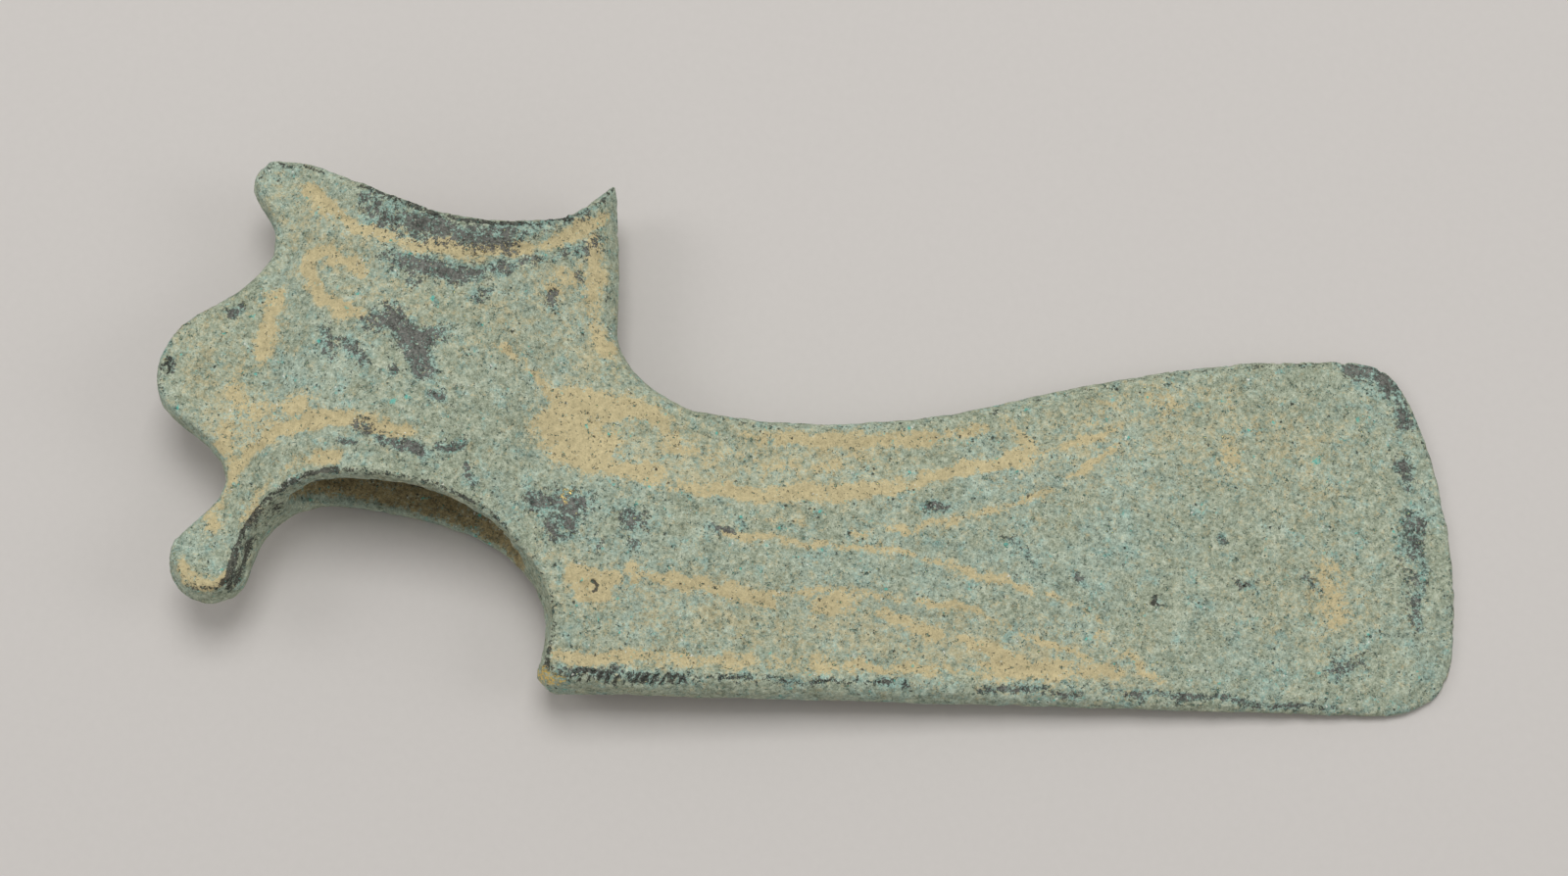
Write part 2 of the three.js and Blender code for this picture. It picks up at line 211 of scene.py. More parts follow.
drop = (level - spots_3d[:, 2])[:, None] * np.array([-math.sin(droop), 0, math.cos(droop)])
write_points(axe_head.data, read_points(axe_head.data) + drop * MM)

# How sharply the skin turns at each point, in radians for each millimetre: most along the outer creases.
co = read_points(axe_head.data)
normal = read_points(axe_head.data, "normal")
run = co[second] - co[first]
length = np.maximum(np.linalg.norm(run, axis=1), 1e-9)
turn = ((normal[second] - normal[first]) * run).sum(1) / length**2 * MM
neighbours = gather(np.ones(len(pairs) // 2))
sharpness = gather(turn) / neighbours
sharpness = gather((sharpness[first] + sharpness[second]) / 2) / neighbours


# ---- Mouldings round the socket's mouths -------------------------------------------------------------
# Two ridges with a groove between them run round each mouth, cut in the wax with a tool about 1.5 mm wide,
# with a curl at the butt end.
NORTH_RIM = [(-12.6, 19.2), (-7.5, 17.3), (-2.3, 16.3), (3, 16), (7.8, 17.3), (12.5, 19.5), (17, 23.2)]
NORTH_GROOVE = [(-20.3, 20.3), (-14, 15.2), (-7, 13.7), (0, 13), (8.2, 14.9), (13, 17.5), (19.2, 22.7)]
NORTH_RIDGE = [(-7.8, 11.1), (-3.8, 10.5), (1.4, 10.5), (6.3, 11.5), (11, 14), (15.6, 16.7), (19.1, 19.1)]
BUTT_CURL = [(-10.5, 8.8), (-13.4, 10.2), (-16.4, 11.3), (-18.2, 9.8), (-17, 6.3), (-15, 4.4), (-12, 3.1)]
LOBE_GROOVE = [(-21.9, 4.1), (-21.6, 0.5), (-22, -3.9)]
SOUTH_RIDGE = [(-22, -25), (-20.2, -20.9), (-18.2, -17.5), (-14.6, -14.9), (-9.5, -13.2), (-2, -14.2)]
SOUTH_GROOVE = [(-24.2, -24.5), (-23.2, -21.2), (-21.6, -17.7), (-18.7, -14.9), (-15, -12.7), (-9.8, -11.6),
                (-0.2, -11.9)]
SOUTH_INNER = [(-19.6, -25.5), (-18.4, -22.1), (-15.9, -18.9), (-12.8, -17.2), (-9, -16.5)]

spots_3d = to_casting((read_points(axe_head.data) - haft) / MM)
facing = to_casting(read_points(axe_head.data, "normal"))
spots = spots_3d[:, :2]
on_top = smooth_step(facing[:, 2], 0.25, 0.7)
under = smooth_step(-facing[:, 2], 0.25, 0.7)
on_side = 1 - on_top - under

# Each moulding with its width and its height in mm. A groove's height is below nought.
MOULDINGS = [
    (NORTH_RIM, 1.1, 0.16),
    (NORTH_GROOVE, 0.9, -0.26),
    (NORTH_RIDGE, 1.2, 0.24),
    (BUTT_CURL, 0.9, -0.28),
    (SOUTH_RIDGE, 1.0, 0.24),
    (SOUTH_GROOVE, 0.8, -0.34),
    (LOBE_GROOVE, 1.1, -0.22),
    (SOUTH_INNER, 0.7, -0.24),
]
height = np.zeros(len(spots))
for line, width, rise in MOULDINGS:
    height += rise * stroke(spots, line, width)


# ---- Panels on the blade -----------------------------------------------------------------------------
# Two sunk leaves lie on either side of a midrib that fans out towards the edge. Their borders are cut
# deeper, and a few lighter tool lines run on past their tips.
UPPER_LEAF_TOP = [(43, -3.6), (51.5, -2.8), (58, -1.8), (65.6, -0.1), (74, 2.5)]
UPPER_LEAF_TIP = [(76.9, 4), (79, 2.6), (80.4, 0.8), (78.5, -1)]
UPPER_LEAF_FOOT = [(26, -11.6), (36, -12.3), (44, -11.7), (52.7, -10.3), (59, -8.7), (65, -6.3), (72, -3.4),
                   (79, -0.2)]
LOWER_LEAF_TOP = [(31.7, -24.3), (46, -24.2), (51, -23.7), (57, -22.4), (67.4, -21.9), (76.5, -22.3),
                  (83.2, -23.8), (90, -25.2), (95.3, -26.9)]
LOWER_LEAF_FOOT = [(23.7, -36.9), (32.3, -35.6), (47.3, -33.5), (64.8, -31.3), (77.5, -29.6), (94, -27.4)]
TOOL_LINES = [
    [(80, -1), (85, 2.5), (92.5, 5.9)],
    [(85.5, -1.6), (88.5, 0.3), (91.5, 3.2)],
    [(58.5, -14.2), (68.5, -11.7), (77, -7.7), (84, -4)],
    [(42, -17.7), (53.7, -16.8), (65, -15.9), (75.8, -17.1)],
    [(76, -16.8), (83.7, -17.9), (87.7, -18.8), (93.2, -20.7)],
    [(92, -22.4), (97.5, -25), (101, -27)],
    [(36, -14.6), (44, -14.6), (52, -14)],
]
PANEL_CUTS = [
    (UPPER_LEAF_FOOT, 0.9, -0.24),
    (UPPER_LEAF_TOP, 0.8, -0.14),
    (UPPER_LEAF_TIP, 0.8, -0.15),
    (LOWER_LEAF_TOP, 0.7, -0.2),
    (LOWER_LEAF_FOOT, 0.8, -0.16),
    *[(tool_line, 0.6, -0.1) for tool_line in TOOL_LINES],
]
for line, width, rise in PANEL_CUTS:
    height += rise * stroke(spots, line, width)

# The hidden cheek is plainer, its mouldings and cuts about a third as high.
height *= on_top + 0.35 * under


# ---- Burial earth ------------------------------------------------------------------------------------
# Tan earth is packed in the grooves and hollows and lies as dust in broad washes. Its strokes wander by
# half a millimetre and come and go along their length.
random_heights = np.random.default_rng(7).uniform(-1, 1, 1 << 16)


def ripple(points, size, octaves=3, seed=0):
    """Uneven swelling of a given size in mm, from about -1 to 1: random heights smoothly joined."""
    total = np.zeros(len(points))
    for octave in range(octaves):
        place = points / size * 2**octave + 37.7 * (seed + octave)
        cell = np.floor(place).astype(int)
        share = place - cell
        share = share * share * (3 - 2 * share)
        for corner in np.ndindex(2, 2, 2):
            weight = np.where(corner, share, 1 - share).prod(1)
            x, y, z = (cell + corner).T
            total += 0.6**octave * weight * random_heights[(x * 7919 ^ y * 104729 ^ z * 1299709) & 0xFFFF]
    return 1.2 * total


wander = 0.5 * np.stack([ripple(spots_3d, 2.2, 3, seed=6), ripple(spots_3d, 2.2, 3, seed=7)], 1)
coming_and_going = 1 + 0.4 * ripple(spots_3d, 4.0, 3, seed=8)


def painted(strokes):
    """The strongest of several strokes, each a line, its width in mm and its strength."""
    amount = np.zeros(len(spots))
    for line, width, strength in strokes:
        amount = np.maximum(amount, strength * stroke(spots + wander, line, width))
    return amount * coming_and_going


# Packed earth, the places where it is worn off again, and the washes of dust.
EARTH = [
    (NORTH_GROOVE, 1.2, 1.0),
    ([(-19, 17.5), (-14, 14.5)], 1.8, 0.75),
    (BUTT_CURL, 1.2, 1.0),
    (LOBE_GROOVE, 1.6, 0.85),
    ([(-26, -4.5), (-25, -7.5), (-24, -10)], 2.2, 0.6),
    (SOUTH_GROOVE, 1.2, 1.0),
    ([(-24.5, -19), (-23, -14.5), (-19.5, -11.5), (-16, -10.3)], 3.0, 0.75),
    (SOUTH_INNER, 1.0, 0.9),
    ([(-24.3, -24), (-23.8, -27)], 1.6, 0.8),
    ([(-27, -33), (-23.5, -35.2), (-20.5, -34)], 1.2, 0.7),
    ([(18.6, 18.5), (19.2, 13), (20.2, 9), (22, 5.4)], 1.7, 0.95),
    ([(14, 11), (16.5, 14), (19, 17)], 1.6, 0.7),
    ([(10, 1.8), (13.5, -0.3), (16.5, -2.8)], 1.0, 0.9),
    ([(18, -3.2), (22, -3), (28, -3.2), (31, -4.4)], 2.0, 1.0),
    ([(18, -7), (22, -7.5), (24, -9)], 3.4, 1.05),
    ([(19, -10.5), (25, -11.2), (32, -11.3)], 1.8, 1.0),
    ([(-11.5, 3.6), (-8, 2.2)], 1.0, 0.6),
    (UPPER_LEAF_FOOT, 1.3, 1.0),
    ([(40, -12), (52, -10), (64, -6.6)], 1.6, 0.95),
    (UPPER_LEAF_TOP, 1.3, 0.85),
    ([(32, -6.5), (38, -7), (44, -6.5)], 2.2, 0.62),
    ([(46, -8), (52, -6.5), (58, -5)], 1.8, 0.55),
    (UPPER_LEAF_TIP, 1.2, 0.9),
    ([(23, -26.4), (25.5, -26.6), (28.4, -26.2)], 1.2, 1.6),
    ([(24, -28), (25.5, -28.6), (27.6, -28)], 1.1, 1.5),
    ([(30.5, -24.4), (38, -24.6), (44, -25.2), (49, -25)], 1.3, 1.0),
    ([(54, -25.8), (57, -24.2), (59.5, -23.4)], 1.7, 0.9),
    ([(64, -24.6), (68, -25.2), (71.5, -25.6)], 1.1, 0.95),
    ([(74, -26), (79, -26.8), (83, -27.4)], 0.9, 0.8),
    (LOWER_LEAF_TOP, 0.8, 0.75),
    (LOWER_LEAF_FOOT, 1.3, 0.7),
    ([(23, -37), (27, -36.4), (33, -35.6)], 0.9, 0.95),
    ([(40, -34.5), (50, -33), (57, -32)], 1.4, 0.72),
    ([(80, -28.6), (88, -28), (95, -27)], 1.7, 0.85),
    ([(58, -4.5), (60, -8)], 2.5, 0.45),
    ([(88, 8), (96, 10), (104, 12)], 3.5, 0.42),
    ([(107, 4), (109, 9)], 3.0, 0.5),
    ([(121, -9), (124, -15)], 3.4, 0.55),
    *[(tool_line, 0.7, 0.7) for tool_line in TOOL_LINES],
]
CLEAN = [
    ([(26, -14.2), (36, -14.6), (46, -13.6), (56, -11.8), (66, -8.4), (76, -4)], 1.0, 0.6),
    ([(30, -22.6), (46, -22.4), (60, -20.4), (74, -20.4)], 0.8, 0.4),
    ([(22.6, 17), (23, 12), (24, 8)], 1.2, 0.8),
]
earth = np.maximum(painted(EARTH) - painted(CLEAN), 0) * on_top
DUST = [
    ([(-29, -4), (-25, -11)], 6, 0.5),
    ([(-24, 18), (-14, 12)], 6, 0.4),
    ([(15, 12), (20, 4)], 6, 0.5),
    ([(20, -6), (38, -8), (60, -5)], 5.5, 0.55),
    ([(24, -28), (60, -27), (94, -26)], 5.5, 0.5),
    ([(80, 0), (104, 8), (118, 6)], 8, 0.35),
    ([(116, -12), (124, -14)], 6, 0.4),
    ([(-10, 6), (4, 6), (12, 4)], 5, 0.3),
]
dust = painted(DUST) * on_top
height += 0.1 * np.clip(earth, 0, 1)

# Inside the socket the earth is stained brown by the rotted haft, but for the rim of the crescent mouth.
SOUTH_MOUTH = [(-19, -33), (-17.5, -27), (-14, -21.7), (-8, -20), (1, -20.4), (9, -22.4), (15, -26.5),
               (19.5, -31.5), (21, -37)]
from_bore = np.abs((spots_3d[:, 0] - 0.5) / 16.5) ** 2.2 + np.abs(spots_3d[:, 2] / 7.2) ** 2.2
stained = np.where(from_bore < 1, 1 - stroke(spots, SOUTH_MOUTH, 1.3), 0)
earth = np.maximum(earth, 0.8 * stained * coming_and_going)
earth = np.maximum(earth, 0.5 * under * coming_and_going)


# ---- Rubbed and flaked places, and painted shade -----------------------------------------------------
# The crust is about 0.15 mm thick. It is rubbed through to dark oxide on the ridges and edges, and black
# lines stand along the sharp creases. Painted shade darkens the lug's steep inner wall.
BARE = [
    ([(-10.5, 17.8), (-7.5, 16.4), (-2.3, 15.6), (3, 15.2), (7, 15.8)], 2.0, 0.78),
    (NORTH_RIM, 1.0, 0.62),
    (NORTH_RIDGE, 0.9, 0.6),
    ([(-6.5, 10.8), (-3.5, 10.1), (1.4, 10), (4.5, 10.5)], 1.4, 1.0),
    ([(4.5, 7.3), (6, 8.2)], 0.8, 0.75),
    ([(-4.5, 8.2), (-3, 7.6)], 0.6, 0.7),
    ([(14, 10.5), (14.6, 9)], 0.8, 0.75),
    ([(16.5, 13.8), (17, 13.2)], 0.7, 0.8),
    ([(-8.5, 1.6), (-6.4, 2.6), (-4.8, 3.2)], 1.3, 0.8),
    ([(-5.5, 2.8), (-3, 0.4), (-1, -1.8), (0.2, -3.8)], 1.6, 0.95),
    ([(-2.5, 1), (0.8, 1.2)], 1.4, 0.85),
    ([(-14.6, 1.2), (-13.4, -0.4), (-12.8, -2)], 1.1, 0.65),
    ([(-11, -1.4), (-9.4, -2.8), (-8.2, -3.8)], 1.0, 0.75),
    ([(-13.2, -2.6), (-12.6, -3.4)], 0.7, 0.8),
    ([(1.4, -6.8), (3, -6.4)], 0.8, 0.7),
    ([(-4.6, -4.6), (-4, -4.8)], 0.6, 0.7),
    ([(-7.2, -12.2), (-4.5, -13), (-2, -14), (1.5, -14.2)], 1.0, 0.8),
    ([(-9, -14.3), (-7, -14.9)], 0.6, 0.8),
    ([(4, -13.6), (6.5, -12.6)], 0.9, 0.7),
    ([(8, -15.3), (8.6, -17)], 0.7, 0.6),
    ([(17.4, -17.5), (20.3, -17.2), (22.8, -16.8)], 1.8, 0.82),
    ([(19.6, -20.6), (20.4, -21.6)], 1.2, 0.95),
    ([(21, -19), (22, -19.6)], 1.4, 0.8),
    ([(28.4, -17.6), (30, -17.9), (31.6, -18)], 1.4, 0.68),
    ([(25.6, -21.3), (26.2, -22)], 0.8, 0.62),
    ([(30.5, -20.8), (30.8, -21.4)], 0.8, 0.55),
    ([(39.5, -17.3), (41.5, -17.4), (43.4, -17)], 0.5, 0.75),
    ([(68, -9.4), (70.5, -9)], 0.6, 0.85),
    ([(-27.3, 1.4), (-25.8, 2.3)], 0.7, 0.7),
    ([(-33.2, -6.7), (-33, -8)], 0.6, 0.75),
    ([(122, 20.4), (125.6, 20.2), (128.4, 18), (130.4, 14)], 1.5, 0.85),
    ([(130.2, 8.2), (131.4, 5)], 1.2, 0.68),
    ([(132.6, 0), (132.6, -4), (133.6, -8)], 1.6, 0.6),
    ([(133.6, -10), (134, -14)], 1.0, 0.6),
    ([(124, -21.5), (127.4, -19.5)], 1.5, 0.58),
    ([(118, -9.8), (119.6, -10.6)], 0.9, 0.75),
    ([(88.2, -15.2), (89.4, -15.8)], 0.6, 0.75),
    ([(107.2, -6.6), (107.6, -7.4)], 0.5, 0.7),
    ([(109.8, -12), (112, -12.2)], 0.9, 0.45),
    ([(78.8, -11.4), (82, -14)], 0.9, 0.4),
    ([(24, -38.8), (31, -38), (40, -36.9)], 0.9, 0.6),
    ([(47, -35.6), (49.5, -35.2)], 0.9, 0.68),
    ([(44, -36.2), (60, -34)], 0.4, 0.6),
    ([(65, -33.4), (69, -33)], 0.7, 0.62),
    ([(78, -31.6), (82, -31.2), (91, -30)], 0.5, 0.75),
    ([(95, -29.6), (110, -28), (124, -26.4)], 0.45, 0.62),
]
bare = painted(BARE) * on_top
bare = np.maximum(bare, 0.35 * under * coming_and_going)

# Painted shade lies in a strip with a scalloped edge along the lug's steep inner wall.
LUG_EDGE = [(-19.9, -34.5), (-19.4, -31), (-19, -28), (-17.6, -24.6), (-15.6, -22.2), (-13, -20.4),
            (-10, -19.6)]
CREASES = [
    (LUG_EDGE, 2.2, 1.0),
    ([(-28.5, -34.6), (-24, -37.2), (-19.5, -36)], 2.0, 0.9),
    ([(-10, -19.1), (-2, -19.2), (6, -20), (13, -23), (18, -28), (20.4, -33)], 2.0, 0.8),
    ([(20.4, -30), (21.4, -36), (21.4, -40.8)], 1.6, 0.95),
    ([(22, -41), (40, -38.6), (60, -36), (95, -31.4), (128, -27)], 2.5, 0.85),
    ([(-26, 24.3), (-19, 23.8), (-12, 21), (-5, 18.8), (5, 18.3), (12, 20.6), (19.5, 27.8)], 2.0, 0.85),
    ([(19.8, 27.8), (21.4, 22), (22.6, 15), (23.4, 8)], 1.8, 0.75),
    ([(74, 6.6), (80, 9.4), (90, 13.4), (100, 16.6), (118, 20.6)], 2.0, 0.8),
    ([(37, -1), (52, 0.2), (62, 2.4), (71, 5.6)], 1.6, 0.8),
    ([(124, 21.5), (130, 18), (133.5, 9.6)], 1.8, 0.8),
    ([(135, 4), (138, -7), (139.6, -15), (137, -22)], 1.8, 0.6),
    ([(-28, 22), (-28.4, 19), (-25, 14)], 1.4, 0.5),
    ([(-33, 1), (-35.4, -5), (-34.6, -11), (-29, -16)], 1.6, 0.5),
]
above = smooth_step(spots_3d[:, 2], 0, 1)
crease = smooth_step(sharpness, 0.12, 0.5) * above
cheek_side = smooth_step(facing[:, 2], 0.45, 0.8)
# Painted shade: a dark strip on the lug's steep inner wall, where the wall lies in shade.
lug_wall_shade = stroke(spots + wander, LUG_EDGE, 0.75) * smooth_step(facing[:, 2], 0.0, 0.4) * above
lug_wall_shade *= 0.8 + 0.9 * ripple(spots_3d, 2.2, 2, seed=9)
grime_and_shade = np.maximum(crease * cheek_side * painted(CREASES), lug_wall_shade)

# Two short black lines stand alone, one on the blade and one at the lobe's end.
LONE_LINES = [
    ([(99, -15.8), (99.2, -16.8), (100, -17.2)], 0.3, 1.0),
    ([(-33.6, -6.2), (-33.4, -8.4)], 0.3, 0.8),
]
grime_and_shade = np.maximum(grime_and_shade, painted(LONE_LINES))


# ---- Flaws and corrosion -----------------------------------------------------------------------------
# Corrosion has roughened the skin and eaten pits in it. There is a cold-shut crescent on the blade's upper
# edge, a filed strip along the lower edge by the spur, and a blow hole with a raised lip below the heel.
BLOW_HOLE = (25.9, -27.4)
from_hole = np.hypot(*(spots - BLOW_HOLE).T)
height -= 0.4 * np.exp(-(from_hole / 0.7) ** 2) * on_top
height += 0.25 * np.exp(-((from_hole - 1.2) / 0.45) ** 2) * on_top
# Painted shade: a dark crescent inside the blow hole on its east side, below the raised lip.
east_of_hole = smooth_step(spots[:, 0] - BLOW_HOLE[0], -0.6, 0.3)
grime_and_shade = np.maximum(grime_and_shade, 0.9 * np.exp(-((from_hole - 0.75) / 0.25) ** 2) * east_of_hole * on_top)
height -= 0.3 * stroke(spots, [(71.5, 5.2), (75.5, 5.9), (80, 7.8), (84, 9.5)], 0.9) * on_top
filed = stroke(spots + 0.4 * wander, [(25.4, -39.2), (31, -38.4), (39, -37.2)], 1.0)
filed = smooth_step(filed, 0.2, 0.7) * on_top
FILE_STROKE = 1.1
hatch = np.sin((spots[:, 0] - 0.45 * spots[:, 1]) * 2 * math.pi / FILE_STROKE)
hatch += 0.8 * ripple(spots_3d, 1.0, 2, seed=10)
height -= 0.08 * filed * (1 + hatch)
grime_and_shade = np.maximum(grime_and_shade, filed * (0.35 + 0.55 * hatch))

# Where the crust is gone, and under the painted shade, the skin lies lower. It swells and sinks over 8,
# 2.4 and 0.8 mm, and has pits of 1.3 mm and chips of 1.8 mm along the creases.
height -= 0.13 * smooth_step(bare, 0.3, 0.8) + 0.2 * smooth_step(grime_and_shade, 0.3, 0.8)
height += 0.10 * ripple(spots_3d, 8.0, 2, seed=1)
height += 0.08 * ripple(spots_3d, 2.4, 3, seed=2)
height += (0.05 * on_top + 0.03 * on_side) * ripple(spots_3d, 0.8, 2, seed=3)
height -= 0.16 * smooth_step(ripple(spots_3d, 1.3, 2, seed=4), 0.55, 0.95) * (1 - under)
height += 0.14 * crease * ripple(spots_3d, 1.8, 3, seed=5)

co = read_points(axe_head.data) + read_points(axe_head.data, "normal") * height[:, None] * MM
co[:, 2] = np.maximum(co[:, 2], 0.0)
write_points(axe_head.data, co)

# Turquoise spots, each with its place and its size in mm, and flecks of bare metal on worn places.
turquoise = np.zeros(len(spots))
for x, y, size in (
    (-24.2, 1.4, 0.6), (-3.1, -8.2, 0.7), (21.4, -6.3, 0.5), (26, -6.3, 0.6), (30, -15.3, 0.5),
    (31.3, -12.9, 0.5), (118.6, 6.2, 0.8), (50.1, -31.5, 0.6), (-1.8, -7.4, 0.4), (112, 10.5, 0.5),
    (123.5, 13, 0.6), (105, 12.5, 0.5), (61, -12.6, 0.4), (78.5, -12.2, 0.6),
):
    off = (spots + 0.5 * wander - (x, y)) / (0.8 * size)
    turquoise = np.maximum(turquoise, np.exp(-(off**2).sum(1)) * on_top)
GLINTS = [
    ([(20.6, -16.2), (21, -15.6)], 1.1, 0.9),
    ([(21.6, -39.4), (22.8, -40), (24, -39.8)], 1.0, 1.05),
    ([(2, 13.4), (6, 14)], 1.6, 0.35),
]
for name, amount in (
    ("earth", earth), ("dust", dust), ("stained", stained), ("bare", bare), ("grime_and_shade", grime_and_shade),
    ("turquoise", turquoise), ("glint", painted(GLINTS)),
):
    layer = axe_head.data.attributes.new(name, "FLOAT", "POINT")
    layer.data.foreach_set("value", np.clip(amount, 0, 1).astype(np.float32))

# Flat stretches don't need the skin's full number of faces.
TRIANGLES = 195_000
thinned = axe_head.modifiers.new("thinned", "DECIMATE")
thinned.ratio = TRIANGLES / (2 * len(axe_head.data.polygons))
thinned.use_collapse_triangulate = True
keep_modifiers(axe_head)
for face in axe_head.data.polygons:
    face.use_smooth = True


# ---- Patinated tin bronze ----------------------------------------------------------------------------
# A dull grey-green carbonate crust, sandy to the touch, over tin bronze. It scatters light evenly, so it
# has no shine but where it is rubbed through.
patina = bpy.data.materials.new("patinated_tin_bronze")
patina.use_nodes = True
tree = patina.node_tree
tree.nodes.clear()


def paint(hex_code):
    """An sRGB hex colour as linear RGBA."""
    parts = [int(hex_code[i:i + 2], 16) / 255 for i in (0, 2, 4)]
    return (*[p / 12.92 if p <= 0.04045 else ((p + 0.055) / 1.055) ** 2.4 for p in parts], 1.0)


def add(kind, links=None, **settings):
    """Adds a node; its inputs are given as values or as sockets to link.

    An input goes by its number where several share a name. A Mix has its factor at 0 and its colours at 6
    and 7. A Map Range has its value at 0, the range it comes from at 1 and 2 and the one it goes to at 3
    and 4.
    """
    made = tree.nodes.new("ShaderNode" + kind)
    for key, value in settings.items():
        setattr(made, key, value)
    for key, value in (links or {}).items():
        if isinstance(value, bpy.types.NodeSocket):
            tree.links.new(value, made.inputs[key])
        else:
            made.inputs[key].default_value = value
    return made


place = add("TexCoord").outputs["Object"]
in_mm = add("VectorMath", {0: place, 3: 1000.0}, operation="SCALE").outputs[0]

# Sand of 0.8 mm down to grains of 0.1 mm is about equally strong in the crust, over a weaker mottling of
# 3 mm and clouds of 12 mm: a scale is a count in each mm. A second field, laid out elsewhere, changes the
# hue.
clouds = add("TexNoise", {"Vector": in_mm, "Scale": 0.08, "Detail": 3.0, "Roughness": 0.6}).outputs["Fac"]
mottling = add("TexNoise", {"Vector": in_mm, "Scale": 0.3, "Detail": 1.0}).outputs["Fac"]
sand = add("TexNoise", {"Vector": in_mm, "Scale": 1.2, "Detail": 3.0, "Roughness": 1.0}).outputs["Fac"]
elsewhere = add("VectorMath", {0: in_mm, 1: (71.0, 13.0, 29.0)}, operation="ADD").outputs[0]
hue = add("TexNoise", {"Vector": elsewhere, "Scale": 0.4, "Detail": 4.0, "Roughness": 0.85}).outputs["Fac"]

tone = add("Math", {0: clouds, 1: 0.12, 2: -0.14}, operation="MULTIPLY_ADD").outputs[0]
tone = add("Math", {0: mottling, 1: 0.16, 2: tone}, operation="MULTIPLY_ADD").outputs[0]
tone = add("Math", {0: sand, 1: tone}, operation="ADD").outputs[0]
crust = add("ValToRGB", {"Fac": tone})
crust.color_ramp.elements[0].position = 0.28
crust.color_ramp.elements[0].color = paint("66705E")
crust.color_ramp.elements[1].position = 0.72
crust.color_ramp.elements[1].color = paint("D2D9C3")
middle = crust.color_ramp.elements.new(0.5)
middle.color = paint("A3AD97")
blue = add("Math", {0: clouds, 1: hue}, operation="ADD").outputs[0]
blue = add("MapRange", {0: blue, 1: 0.94, 2: 1.14, 4: 0.6}).outputs[0]
bluer = {0: blue, 6: crust.outputs[0], 7: paint("95A99D")}
crust_colour = add("Mix", bluer, data_type="RGBA", blend_type="COLOR").outputs[2]

# Around the rubbed places the crust is turquoise.
bare_at = add("Attribute", attribute_name="bare").outputs["Fac"]
halo = add("Math", {0: hue, 1: 3.0, 2: -1.5}, operation="MULTIPLY_ADD").outputs[0]
halo = add("Math", {0: bare_at, 1: halo}, operation="ADD").outputs[0]
halo = add("MapRange", {0: halo, 1: 0.1, 2: 0.5, 4: 0.8}).outputs[0]
greener = {0: halo, 6: crust_colour, 7: paint("8CAAA0")}
crust_colour = add("Mix", greener, data_type="RGBA", blend_type="COLOR").outputs[2]

# Burial earth: a thin film where dust has settled, and a solid fill where it is packed in.
earth_at = add("Attribute", attribute_name="earth").outputs["Fac"]
dust_at = add("Attribute", attribute_name="dust").outputs["Fac"]
ragged = add("TexNoise", {"Vector": in_mm, "Scale": 0.9, "Detail": 3.5, "Roughness": 0.95}).outputs["Fac"]
ragged = add("Math", {0: ragged, 1: 4.0, 2: -2.0}, operation="MULTIPLY_ADD").outputs[0]
settled = add("Math", {0: earth_at, 1: dust_at}, operation="MAXIMUM").outputs[0]
settled = add("Math", {0: settled, 1: ragged}, operation="ADD").outputs[0]
film = add("MapRange", {0: settled, 1: 0.1, 2: 0.85, 4: 0.65}, interpolation_type="SMOOTHSTEP").outputs[0]
packed = add("Math", {0: ragged, 1: 0.5, 2: earth_at}, operation="MULTIPLY_ADD").outputs[0]
packed = add("MapRange", {0: packed, 1: 0.42, 2: 0.7, 4: 0.95}, interpolation_type="SMOOTHSTEP").outputs[0]
loam = add("MapRange", {0: tone, 1: 0.30, 2: 0.70}).outputs[0]
loam = add("Mix", {0: loam, 6: paint("AFA47F"), 7: paint("DACB9E")}, data_type="RGBA").outputs[2]
dusty = add("Mix", {0: film, 6: crust_colour, 7: loam}, data_type="RGBA").outputs[2]
earthy = add("Mix", {0: packed, 6: dusty, 7: loam}, data_type="RGBA").outputs[2]

# The haft's stain is brown, and wears off in spots down to the crust.
stained_at = add("Attribute", attribute_name="stained").outputs["Fac"]
stain = add("Math", {0: ragged, 1: 0.6, 2: stained_at}, operation="MULTIPLY_ADD").outputs[0]
stain = add("MapRange", {0: stain, 1: 0.55, 2: 0.95, 4: 0.85}, interpolation_type="SMOOTHSTEP").outputs[0]
brown = add("MapRange", {0: tone, 1: 0.35, 2: 0.65}).outputs[0]
brown = add("Mix", {0: brown, 6: paint("7F7150"), 7: paint("C4AE7A")}, data_type="RGBA").outputs[2]
inside = add("Mix", {0: stain, 6: crust_colour, 7: brown}, data_type="RGBA").outputs[2]
in_socket = add("MapRange", {0: stained_at, 1: 0.05, 2: 0.3}).outputs[0]
earthy = add("Mix", {0: in_socket, 6: earthy, 7: inside}, data_type="RGBA").outputs[2]

# Dark oxide where the crust is rubbed through, broken up by crumbs of crust that stayed.
crumbs = add("TexNoise", {"Vector": in_mm, "Scale": 1.3, "Detail": 3.5, "Roughness": 0.95}).outputs["Fac"]
crumbs = add("Math", {0: crumbs, 1: 5.0, 2: -2.5}, operation="MULTIPLY_ADD").outputs[0]
rubbed = add("Math", {0: bare_at, 1: crumbs}, operation="ADD").outputs[0]
rubbed = add("MapRange", {0: rubbed, 1: 0.5, 2: 0.72}, interpolation_type="SMOOTHSTEP").outputs[0]
oxide = add("MapRange", {0: tone, 1: 0.35, 2: 0.65}).outputs[0]
oxide = add("Mix", {0: oxide, 6: paint("41423C"), 7: paint("868780")}, data_type="RGBA").outputs[2]
colour = add("Mix", {0: rubbed, 6: earthy, 7: oxide}, data_type="RGBA").outputs[2]

